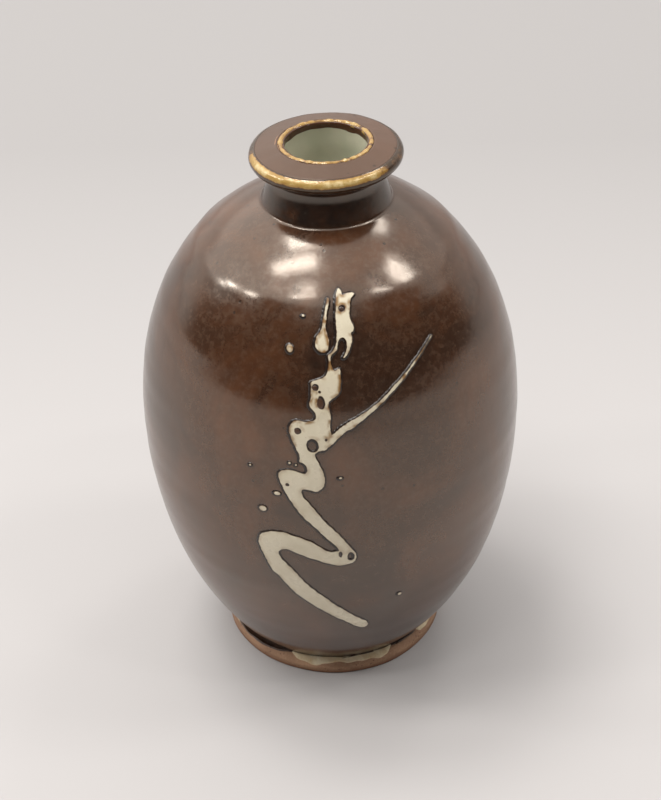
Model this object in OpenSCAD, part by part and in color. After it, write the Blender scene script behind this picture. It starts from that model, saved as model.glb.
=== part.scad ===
// Sake bottle: a wheel-thrown stoneware bottle with a flared lip, an iron-brown
// glaze over cream, and a poured cream zigzag on the front.
// Millimetres, +Z up. The origin is the centre of the foot's underside, and the
// decorated front faces -Y. The outside is a solid of revolution, and every coat
// and clay section follows the same curves at its own depth under the glaze.

/* [Body] */
// Radius of the belly, over the glaze
belly_r = 52; // [43:1:64]
// Height of the belly's widest line above the table
belly_z = 75; // [62:1:90]
// Height of the shoulder's curve above the belly line
shoulder_h = 68.5; // [60:0.5:90]
// How full the shoulder's curve is: 2 makes a plain ellipse, more makes it squarer
shoulder_full = 2.2; // [2:0.05:2.4]
// How far under the table the underbelly's curve would close, if the foot didn't cut it off
underbelly_past = 11; // [8:1:20]
// Thickness of the thrown clay wall
wall = 4.2; // [3:0.1:6]
// Thickness of the floor, from the recess under the foot to the inside
floor_t = 5.5; // [4:0.1:8]

/* [Foot] */
// Radius of the foot ring
foot_r = 32.2; // [26:0.1:39]
// Width of the foot ring where it stands
foot_w = 6.5; // [5:0.1:8]
// Height of the foot ring, and depth of the recess under the floor
foot_h = 2.8; // [2.2:0.1:3.6]
// Rounding of the foot ring's outer edges
foot_round = 0.6; // [0.3:0.1:0.9]
// Height of the ledge between the foot ring and the glazed wall
ledge_h = 1.8; // [1.2:0.1:2.4]
// Height of the rolled edge in which the brown coat ends
roll_h = 1.6; // [1:0.1:2.2]

/* [Neck and lip] */
// Radius of the neck at its narrowest, over the glaze
neck_r = 14.2; // [11:0.1:18]
// Thickness of the clay at the neck's narrowest
neck_wall = 2.35; // [2:0.05:3.5]
// Height of the neck's straight part
neck_h = 1.94; // [0.1:0.05:6]
// Radius of the hollow curve from the shoulder into the neck
neck_root_r = 2.6; // [1.6:0.1:3.2]
// Radius of the hollow curve from the neck out under the lip
lip_under_r = 6.4; // [3:0.1:7]
// How far the lip stands out past the neck
lip_over = 5.4; // [4:0.1:8]
// Rounding of the lip's outer edge
lip_edge_r = 2; // [1.6:0.1:2.4]
// Slope of the lip's top face, down towards its edge, in degrees
lip_slope = 11; // [6:1:14]
// Slope of the lip's underside, in degrees
lip_under_slope = 25; // [15:1:35]

/* [Mouth] */
// Radius of the raised bead round the mouth
bead_r = 1.1; // [0.8:0.1:1.4]

/* [Glaze coats] */
// Thickness of the brown coat
brown_t = 0.45; // [0.3:0.05:0.6]
// Thickness of the cream coat under it
cream_t = 0.4; // [0.3:0.05:0.6]
// Thickness of the liner glaze
liner_t = 0.4; // [0.3:0.05:0.6]
// Thickness of the cream patches at the foot
skirt_t = 0.5; // [0.4:0.05:0.6]
// How far the rolled edge at the foot stands out
roll_bulge = 0.35; // [0.2:0.05:0.5]

/* [Decoration] */
// How far the cream decoration stands on the brown coat
trail_t = 0.3; // [0.2:0.05:0.5]
// Width of the zigzag's long stroke
stroke_w = 4.6; // [3:0.1:6]
// Width of the side flick where it leaves the zigzag
flick_w = 2.2; // [1.4:0.1:3]
// Radius of the largest splash drop
drop_r = 1.4; // [0.8:0.1:2]
// Radius of the brown beads caught in the cream
bead_spot_r = 0.9; // [0.5:0.1:1.2]

/* [Hidden] */
$fn = 96;
coat_t = brown_t + cream_t;      // both outside coats
inside_t = coat_t + wall;        // from the outer surface to the clay's inside
hollow_t = inside_t + liner_t;   // from the outer surface to the liner's surface
oval_step = 5;                   // degrees between the points of the long curves
arc_step = 10;                   // degrees between the points of the small curves
floor_z = foot_h + floor_t;      // top of the clay floor
underbelly_h = belly_z + underbelly_past;
cream_line_z = foot_h + ledge_h; // where the cream glaze stops
brown_line_z = cream_line_z + roll_h;
throat_clay_r = neck_r - coat_t - neck_wall;
throat_r = throat_clay_r - liner_t;
lip_r = neck_r + lip_over;

// --- Curves shared by the clay and the coats. depth is measured in from the surface.

function oval_x(depth, angle) = (belly_r - depth) * (angle < 0 ? cos(angle) : pow(cos(angle), 2 / shoulder_full));
function oval_z(depth, angle) = angle < 0
    ? belly_z + (underbelly_h - depth) * sin(angle)
    : belly_z + (shoulder_h - depth) * pow(sin(angle), 2 / shoulder_full);
function oval_point(depth, angle) = [oval_x(depth, angle), oval_z(depth, angle)];
// Angle on the shoulder at a radius, and on the underbelly at a height
function angle_at_r(depth, r) = acos(pow(r / (belly_r - depth), shoulder_full / 2));
function angle_at_z(depth, z) = asin((z - belly_z) / (underbelly_h - depth));

// The points of the body's curve from one angle up to another, on the same steps at every depth
function oval(depth, from, to) = concat(
    [oval_point(depth, from)],
    [for (k = [ceil(from / oval_step) : floor(to / oval_step)])
        let (angle = k * oval_step)
        if (angle > from + 0.5 && angle < to - 0.5) oval_point(depth, angle)],
    [oval_point(depth, to)]);

function arc(centre, r, from, to) =
    let (count = ceil(abs(to - from) / arc_step))
    [for (i = [0 : count]) let (angle = from + (to - from) * i / count) centre + r * [cos(angle), sin(angle)]];

// Radius at which the shoulder turns into the neck's root curve, found by going round a few times
function root_start_r(r, rounds) = rounds == 0 ? r
    : root_start_r(neck_r + neck_root_r * (1 - shoulder_normal(r)[0]), rounds - 1);
function shoulder_normal(r) =
    let (angle = angle_at_r(0, r), power = 2 - 2 / shoulder_full,
        n = [pow(cos(angle), power) / belly_r, pow(sin(angle), power) / shoulder_h])
    n / norm(n);

root_r = root_start_r(neck_r + neck_root_r, 5);
root_normal = shoulder_normal(root_r);
root_point = oval_point(0, angle_at_r(0, root_r));
root_centre = root_point + neck_root_r * root_normal;
root_angle = atan2(-root_normal[1], -root_normal[0]);      // where the root curve leaves the shoulder
under_centre = [neck_r + lip_under_r, root_centre[1] + neck_h];
under_angle = 90 + lip_under_slope;                        // end of the curve under the lip
under_end = under_centre + lip_under_r * [-sin(lip_under_slope), cos(lip_under_slope)];
edge_start_x = lip_r - lip_edge_r * (1 - sin(lip_under_slope));
lip_centre = [lip_r - lip_edge_r,
    under_end[1] + (edge_start_x - under_end[0]) * tan(lip_under_slope) + lip_edge_r * cos(lip_under_slope)];
bead_x = throat_r + bead_r;
bead_outer_x = bead_x + bead_r;
top_start = lip_centre + lip_edge_r * [sin(lip_slope), cos(lip_slope)];
bead_z = top_start[1] + (top_start[0] - bead_outer_x) * tan(lip_slope) - bead_r / 4;

// Height of the lip's top face at a radius, at a depth under the glaze
function lip_top_z(depth, r) = top_start[1] - depth / cos(lip_slope) + (top_start[0] - r) * tan(lip_slope);
// The neck's outline from the shoulder up to the lip's underside
function neck_curve(depth) = concat(
    arc(root_centre, neck_root_r + depth, root_angle, -180),
    arc(under_centre, lip_under_r + depth, 180, under_angle));
function lip_edge_curve(depth) = arc(lip_centre, lip_edge_r - depth, lip_under_slope - 90, 90 - lip_slope);

function flip(points) = [for (i = [len(points) - 1 : -1 : 0]) points[i]];
function last_of(points) = points[len(points) - 1];

// A band of the body's curve between two depths, from a height up to the neck's root
module oval_band(outer, inner, bottom_z) {
    rotate_extrude()
        polygon(concat(
            oval(outer, angle_at_z(outer, bottom_z), angle_at_r(outer, root_r)),
            flip(oval(inner, angle_at_z(inner, bottom_z), angle_at_r(inner, root_r)))));
}

// --- Clay sections

module body_wall() {
    inner_floor_angle = angle_at_z(inside_t, floor_z);
    color("tan")
        rotate_extrude()
            polygon(concat(
                [[0, foot_h], [foot_r - foot_round, foot_h]],
                oval(coat_t, angle_at_z(coat_t, cream_line_z), angle_at_r(coat_t, root_r)),
                flip(oval(inside_t, inner_floor_angle, angle_at_r(inside_t, root_r))),
                [[0, floor_z]]));
}

module foot_ring() {
    inner_r = foot_r - foot_w;
    color("peru")
        rotate_extrude()
            polygon(concat(
                [[inner_r, 0]],
                arc([foot_r - foot_round, foot_round], foot_round, -90, 0),
                arc([foot_r - foot_round, foot_h - foot_round], foot_round, 0, 90),
                [[inner_r, foot_h]]));
}

module neck_collar() {
    inner_root_z = oval_z(inside_t, angle_at_r(inside_t, root_r));
    color("tan")
        rotate_extrude()
            polygon(concat(
                [[root_r, inner_root_z], oval_point(coat_t, angle_at_r(coat_t, root_r))],
                neck_curve(coat_t),
                [[throat_clay_r, last_of(neck_curve(coat_t))[1]]],
                flip(oval(inside_t, angle_at_r(inside_t, root_r), angle_at_r(inside_t, throat_clay_r)))));
}

module lip_disc() {
    neck_top = last_of(neck_curve(coat_t));
    color("tan")
        rotate_extrude()
            polygon(concat(
                [[throat_clay_r, neck_top[1]], neck_top],
                lip_edge_curve(coat_t),
                [[bead_outer_x, lip_top_z(coat_t, bead_outer_x)],
                    [bead_outer_x, bead_z], [throat_clay_r, bead_z]]));
}

// --- Glaze coats

module liner_glaze() {
    liner_floor_z = floor_z + liner_t;
    color("darkseagreen")
        rotate_extrude()
            polygon(concat(
                [[0, floor_z]],
                oval(inside_t, angle_at_z(inside_t, floor_z), angle_at_r(inside_t, root_r)),
                oval(inside_t, angle_at_r(inside_t, root_r), angle_at_r(inside_t, throat_clay_r)),
                [[throat_clay_r, bead_z], [throat_r, bead_z]],
                flip(oval(hollow_t, angle_at_z(hollow_t, liner_floor_z), angle_at_r(hollow_t, throat_r))),
                [[0, liner_floor_z]]));
}

module cream_glaze() {
    color("wheat")
        oval_band(brown_t, coat_t, cream_line_z);
}

module brown_glaze() {
    color("saddlebrown")
        oval_band(0, brown_t, brown_line_z);
}

module neck_glaze() {
    color("saddlebrown")
        rotate_extrude()
            polygon(concat(
                [oval_point(coat_t, angle_at_r(coat_t, root_r)), root_point],
                neck_curve(0),
                flip(neck_curve(coat_t))));
}

module lip_edge_glaze() {
    color("goldenrod")
        rotate_extrude()
            polygon(concat(
                [last_of(neck_curve(coat_t)), last_of(neck_curve(0))],
                lip_edge_curve(0),
                flip(lip_edge_curve(coat_t))));
}

module lip_glaze() {
    color("sienna")
        rotate_extrude()
            polygon([last_of(lip_edge_curve(coat_t)), top_start,
                [bead_outer_x, lip_top_z(0, bead_outer_x)], [bead_outer_x, lip_top_z(coat_t, bead_outer_x)]]);
}

module mouth_bead() {
    color("goldenrod")
        rotate_extrude()
            polygon(arc([bead_x, bead_z], bead_r, 0, 180));
}

module glaze_roll() {
    from = angle_at_z(0, cream_line_z);
    to = angle_at_z(0, brown_line_z);
    count = 6;
    outer = [for (i = [0 : count])
        let (share = i / count, angle = from + (to - from) * share, bulge = roll_bulge * sin(180 * share))
        oval_point(-bulge, angle)];
    inner_from = angle_at_z(brown_t, cream_line_z);
    inner_to = angle_at_z(brown_t, brown_line_z);
    color("maroon")
        rotate_extrude()
            polygon(concat(outer, flip([oval_point(brown_t, inner_from), oval_point(brown_t, inner_to)])));
}

// A cream patch on the ledge above the foot, over part of the way round
module skirt_patch(middle, span) {
    ledge_out = [foot_r - foot_round, foot_h];
    ledge_in = oval_point(coat_t, angle_at_z(coat_t, cream_line_z));
    coat_edge = oval_point(brown_t, angle_at_z(brown_t, cream_line_z));
    along = (ledge_in - ledge_out) / norm(ledge_in - ledge_out);
    outward = [along[1], -along[0]];
    rotate([0, 0, middle - span / 2])
        rotate_extrude(angle = span)
            polygon([ledge_out, ledge_out + skirt_t * (outward + 2 * along), coat_edge, ledge_in]);
}

// The patches' middles and spans round the foot, in degrees from +X
patches = [[-88, 44], [-8, 38], [60, 34], [192, 30]];

module foot_skirt() {
    color("wheat")
        for (patch = patches)
            skirt_patch(patch[0], patch[1]);
}

// --- Decoration, drawn flat on the front and laid on the brown coat

// What is drawn in X and Z, as a skin that stands on the brown coat's front
module laid_on() {
    intersection() {
        oval_band(-trail_t, 0, brown_line_z);
        rotate([90, 0, 0])
            linear_extrude(height = belly_r + 2 * trail_t)
                translate([0, belly_z])
                    children();
    }
}

// One point of a smooth curve through four neighbours, at a share t of the middle stretch
function spline_point(p, t) = ((2 * p[1]) + (p[2] - p[0]) * t + (2 * p[0] - 5 * p[1] + 4 * p[2] - p[3]) * t * t
    + (3 * p[1] - p[0] - 3 * p[2] + p[3]) * t * t * t) / 2;
function smooth(points, steps) =
    let (last = len(points) - 1)
    concat(
        [for (i = [0 : last - 1], s = [0 : steps - 1])
            spline_point([points[max(i - 1, 0)], points[i], points[i + 1], points[min(i + 2, last)]], s / steps)],
        [points[last]]);
function flat(p) = [p[0], p[1]];
function heading(from, to) = atan2(to[1] - from[1], to[0] - from[0]);
// The round end of a stroke, between its two sides
function end_cap(p, angle) =
    [for (turn = [-60 : 30 : 60]) flat(p) + p[2] * [cos(angle + turn), sin(angle + turn)]];

// The outline of a stroke with round ends. Each entry of the route is [x, z, half width].
function stroke_outline(route, steps) =
    let (line = smooth(route, steps), last = len(line) - 1,
        side = [for (i = [0 : last])
            let (angle = heading(line[max(i - 1, 0)], line[min(i + 1, last)]) + 90)
            line[i][2] * [cos(angle), sin(angle)]])
    concat(
        [for (i = [0 : last]) flat(line[i]) + side[i]],
        flip(end_cap(line[last], heading(line[last - 1], line[last]))),
        flip([for (i = [0 : last]) flat(line[i]) - side[i]]),
        flip(end_cap(line[0], heading(line[1], line[0]))));

stroke = stroke_w / 2;
// The zigzag, from the neck down to its last long stroke. Heights are from the belly line.
upper_route = [[4.6, 58, 1.5], [3.6, 51, 1.8], [0.8, 44.5, 1.3], [-0.6, 38.6, 2.6], [-0.8, 33, 2.3],
    [-3.6, 28.8, 2.4], [-8, 26.6, 1.8]];
middle_route = [[-6.8, 26.2, 1.7], [-3.6, 22, 2.1], [-3, 17.4, 2.3], [-6.2, 14.2, 2], [-10.6, 13.4, 1.9]];
diagonal_route = [[-11, 12.4, 2.2], [-8.8, 5.6, 2.3], [-4, -2, 2.1], [3.2, -10.6, 2.2]];
lower_route = [[2.4, -12, 1.4], [-5, -11, 1.5], [-12, -6.6, stroke - 0.4], [-17, -8.6, stroke - 0.2],
    [-17.2, -15, stroke], [-13, -22.6, stroke], [-6.6, -29.8, stroke], [0.6, -36.2, stroke - 0.1],
    [7.6, -42, stroke - 0.6]];
streak_route = [[0.6, 57.4, 0.7], [-0.9, 52, 0.9], [-1.9, 47.6, 1.7]];
flick_route = [[-0.4, 23, flick_w / 2], [5, 28, flick_w / 2.2], [12, 33.6, flick_w / 2.6],
    [19.2, 39.6, flick_w / 4], [25, 44.6, flick_w / 8]];
// Brown beads in the cream, as [x, z, share of the largest]
spots = [[3.4, 53.6, 0.8], [2.6, 47.6, 0.7], [-1.4, 38.4, 1], [-1.6, 33.4, 0.7], [-6, 27.6, 0.8],
    [-9.4, 12.8, 0.8], [1.6, -9.8, 0.9]];
// Loose drops, as [x, z, share of the largest]
drops = [[-9.6, 46, 1], [-17.6, 3, 1], [-13.8, 8.6, 0.7], [-6, 58, 0.5], [-11, 19, 0.35], [3.6, 13.4, 0.4],
    [17.4, -31, 0.45]];

module stroke_shape(route) {
    polygon(stroke_outline(route, 4));
}

module dots(list, r) {
    for (dot = list)
        translate(flat(dot)) circle(r = r * dot[2]);
}

module upper_stroke() {
    color("cornsilk")
        laid_on() difference() {
            stroke_shape(upper_route);
            dots(spots, bead_spot_r);
        }
}

module middle_stroke() {
    color("cornsilk")
        laid_on() difference() {
            stroke_shape(middle_route);
            stroke_shape(upper_route);
            dots(spots, bead_spot_r);
        }
}

module diagonal_stroke() {
    color("cornsilk")
        laid_on() difference() {
            stroke_shape(diagonal_route);
            stroke_shape(middle_route);
            dots(spots, bead_spot_r);
        }
}

module lower_stroke() {
    color("cornsilk")
        laid_on() difference() {
            stroke_shape(lower_route);
            stroke_shape(diagonal_route);
            dots(spots, bead_spot_r);
        }
}

module side_streaks() {
    color("cornsilk")
        laid_on() difference() {
            union() {
                stroke_shape(flick_route);
                stroke_shape(streak_route);
            }
            stroke_shape(upper_route);
            stroke_shape(middle_route);
        }
}

module splash_drops() {
    color("cornsilk")
        laid_on() dots(drops, drop_r);
}

module trail_beads() {
    color("saddlebrown")
        laid_on() dots(spots, bead_spot_r);
}

body_wall();
foot_ring();
neck_collar();
lip_disc();
liner_glaze();
cream_glaze();
brown_glaze();
neck_glaze();
lip_glaze();
lip_edge_glaze();
mouth_bead();
upper_stroke();
middle_stroke();
diagonal_stroke();
lower_stroke();
side_streaks();
splash_drops();
trail_beads();
foot_skirt();
glaze_roll();
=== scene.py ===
import bpy
import math
import numpy as np
from mathutils import Matrix, Vector


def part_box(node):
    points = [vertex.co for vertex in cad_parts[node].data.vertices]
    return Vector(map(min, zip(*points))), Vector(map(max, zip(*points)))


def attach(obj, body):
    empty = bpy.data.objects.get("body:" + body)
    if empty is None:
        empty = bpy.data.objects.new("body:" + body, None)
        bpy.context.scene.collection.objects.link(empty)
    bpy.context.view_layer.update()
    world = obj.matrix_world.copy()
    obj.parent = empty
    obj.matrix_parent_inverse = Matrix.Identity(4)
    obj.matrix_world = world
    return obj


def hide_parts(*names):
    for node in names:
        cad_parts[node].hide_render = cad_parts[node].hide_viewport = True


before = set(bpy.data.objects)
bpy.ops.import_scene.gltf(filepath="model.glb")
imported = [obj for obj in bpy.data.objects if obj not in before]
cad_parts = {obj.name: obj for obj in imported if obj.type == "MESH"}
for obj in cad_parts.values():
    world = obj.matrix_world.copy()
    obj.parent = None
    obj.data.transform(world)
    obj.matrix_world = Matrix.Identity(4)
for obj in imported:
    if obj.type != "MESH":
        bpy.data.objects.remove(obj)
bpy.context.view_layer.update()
mm = 0.001
tau = 2 * math.pi

# Outline of the pot
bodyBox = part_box("brown_glaze")
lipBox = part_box("lip_edge_glaze")
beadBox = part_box("mouth_bead")
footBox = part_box("foot_ring")

pot = {
    "bellyR": bodyBox[1].x,
    "bellyZ": 75 * mm,            # widest line above the table
    "shoulderH": 68.5 * mm,
    "full": 2.2,                  # 2 would make the shoulder a plain ellipse
    "underbellyH": 86 * mm,
    "neckR": 14.2 * mm,
    "rootR": 2.6 * mm,            # hollow curve from the shoulder into the neck
    "underLipR": 6.4 * mm,        # hollow curve from the neck out under the lip
    "neckStraight": 1.94 * mm,
    "lipR": lipBox[1].x,
    "lipEdgeR": 2 * mm,
    "lipSlope": math.radians(11),
    "underLipSlope": math.radians(25),
    "glazeLine": bodyBox[0].z,    # where the even brown coat ends
    "creamLine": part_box("cream_glaze")[0].z,
    "coat": 0.85 * mm,            # both outside coats together
    "skin": 0.45 * mm,            # the brown coat alone
    "lean": math.radians(1.2),    # the lip dips a little on its left
}
bead = {
    "r": beadBox[1].z - beadBox[0].z,
    "outer": beadBox[1].x,
    "z": beadBox[0].z,
}
throatR = bead["outer"] - 2 * bead["r"]


def smoothStep(low, high, x):
    t = np.clip((x - low) / (high - low), 0, 1)
    return t * t * (3 - 2 * t)


def wave(*parts):
    # A repeatable unevenness: each part is (strength, angle)
    return sum(strength * np.sin(angle) for strength, angle in parts)


def arcLine(centre, radius, start, end, count):
    turn = np.linspace(start, end, count)
    return np.stack([centre[0] + radius * np.cos(turn), centre[1] + radius * np.sin(turn)], 1)


def ovalLine(lowZ, topR, count, depth=0.0):
    # The body's curve from a height up to a radius, at a depth under the surface
    wide, tall, under = (pot[k] - depth for k in ("bellyR", "shoulderH", "underbellyH"))
    low = math.asin((lowZ - pot["bellyZ"]) / under)
    turn = np.linspace(low, math.acos((topR / wide) ** (pot["full"] / 2)), count)
    c, s, power = np.cos(turn), np.sin(np.abs(turn)), 2 / pot["full"]
    r = np.where(turn < 0, wide * c, wide * c ** power)
    z = np.where(turn < 0, -under * s, tall * s ** power)
    return np.stack([r, pot["bellyZ"] + z], 1)


def shoulderNormal(r):
    turn = math.acos((r / pot["bellyR"]) ** (pot["full"] / 2))
    power = 2 - 2 / pot["full"]
    n = np.array([math.cos(turn) ** power / pot["bellyR"], math.sin(turn) ** power / pot["shoulderH"]])
    return n / np.linalg.norm(n)


rootX = pot["neckR"] + pot["rootR"]
for again in range(6):
    rootX = pot["neckR"] + pot["rootR"] * (1 - shoulderNormal(rootX)[0])
rootNormal = shoulderNormal(rootX)
rootPoint = ovalLine(0.01, rootX, 2)[1]
rootCentre = rootPoint + pot["rootR"] * rootNormal
underCentre = np.array([pot["neckR"] + pot["underLipR"], rootCentre[1] + pot["neckStraight"]])
slope = pot["underLipSlope"]
underEnd = underCentre + pot["underLipR"] * np.array([-math.sin(slope), math.cos(slope)])
edgeX = pot["lipR"] - pot["lipEdgeR"] * (1 - math.sin(slope))
edgeCentre = np.array([
    pot["lipR"] - pot["lipEdgeR"],
    underEnd[1] + (edgeX - underEnd[0]) * math.tan(slope) + pot["lipEdgeR"] * math.cos(slope)])


# The neck leans in from a tight corner at the shoulder, and bends out again under the lip
neck = {
    "r": 14.6 * mm,
    "z": 148.3 * mm,
    "bendR": 6 * mm,
    "lean": math.radians(20),
    "cornerR": 1.5 * mm,
    "underR": 2.4 * mm,
}
bendCentre = np.array([neck["r"] + neck["bendR"], neck["z"]])
coneOut = np.array([math.cos(neck["lean"]), math.sin(neck["lean"])])
coneTop = bendCentre - neck["bendR"] * coneOut
nearX, farX = 15 * mm, 22 * mm
for again in range(40):
    cornerX = (nearX + farX) / 2
    cornerCentre = ovalLine(0.01, cornerX, 2)[1] + neck["cornerR"] * shoulderNormal(cornerX)
    if (cornerCentre - coneTop) @ coneOut < neck["cornerR"]:
        nearX = cornerX
    else:
        farX = cornerX


def outlineNormals(line):
    along = np.gradient(line, axis=0)
    along /= np.linalg.norm(along, axis=1)[:, None]
    return np.stack([along[:, 1], -along[:, 0]], 1)


def throwing(az, z):
    # Low ridges left by the fingers, and a wall that is a little out of round
    body = smoothStep(0.004, 0.02, z) * (1 - smoothStep(0.134, 0.142, z))
    ridges = wave(
        (0.018, tau * z / 0.0066 + az), (0.02, tau * z / 0.0097 - az + 1.3), (0.03, tau * z / 0.0165 + 2.1))
    uneven = wave((0.10, 2 * az + 0.6), (0.08, 3 * az + 2 + 30 * z), (0.05, 5 * az - 40 * z))
    leaning = (0.5 * np.sin(az) - 0.15) * np.exp(-((z - 0.030) / 0.022) ** 2)
    step = 0.2 * np.exp(-((z - 0.1300 - 0.0008 * np.sin(az + 0.5)) / 0.0017) ** 2)
    return mm * body * np.maximum(ridges + uneven + leaning + step, -0.34)


def turned(line, normals, az, lift):
    # Points of an outline carried round the pot, lifted along its normals
    r = line[..., 0] + normals[..., 0] * lift
    z = line[..., 1] + normals[..., 1] * lift
    x = r * np.sin(az)
    z = z + x * math.tan(pot["lean"]) * smoothStep(0.136, 0.148, z)
    return np.stack([x, -r * np.cos(az), z], -1)


# Mesh helpers
def makeMesh(name, points, faces, body="root"):
    mesh = bpy.data.meshes.new(name)
    mesh.from_pydata(points.reshape(-1, 3).tolist(), [], faces)
    mesh.validate()
    mesh.shade_smooth()
    piece = bpy.data.objects.new(name, mesh)
    bpy.context.collection.objects.link(piece)
    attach(piece, body)
    return piece


def gridFaces(rows, cols, start=0, flip=False):
    # The faces of a grid whose rows go right round the pot
    faces = []
    for i in range(rows - 1):
        here, above = start + i * cols, start + (i + 1) * cols
        for j in range(cols):
            k = (j + 1) % cols
            quad = (here + j, here + k, above + k, above + j)
            faces.append(quad[::-1] if flip else quad)
    return faces

def tubeFaces(rows, cols):
    # The faces of a grid that closes on itself both ways
    faces = []
    for i in range(rows):
        for j in range(cols):
            k, n = (j + 1) % cols, (i + 1) % rows
            faces.append((i * cols + j, i * cols + k, n * cols + k, n * cols + j))
    return faces


def closedSkin(name, outer, inner):
    # A closed shell: two grids that go round the pot, joined along their rims
    rows, cols = outer.shape[:2]
    under = rows * cols
    faces = gridFaces(rows, cols) + gridFaces(rows, cols, under, flip=True)
    for j in range(cols):
        k = (j + 1) % cols
        faces.append((k, j, under + j, under + k))
        last = (rows - 1) * cols
        faces.append((last + j, last + k, under + last + k, under + last + j))
    return makeMesh(name, np.concatenate([outer.reshape(-1, 3), inner.reshape(-1, 3)]), faces)


def setMark(piece, name, values):
    mark = piece.data.attributes.new(name, "FLOAT", "POINT")
    filled = np.zeros(len(piece.data.vertices), np.float32)
    values = np.asarray(values, np.float32).ravel()
    filled[:len(values)] = values
    mark.data.foreach_set("value", filled)


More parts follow.
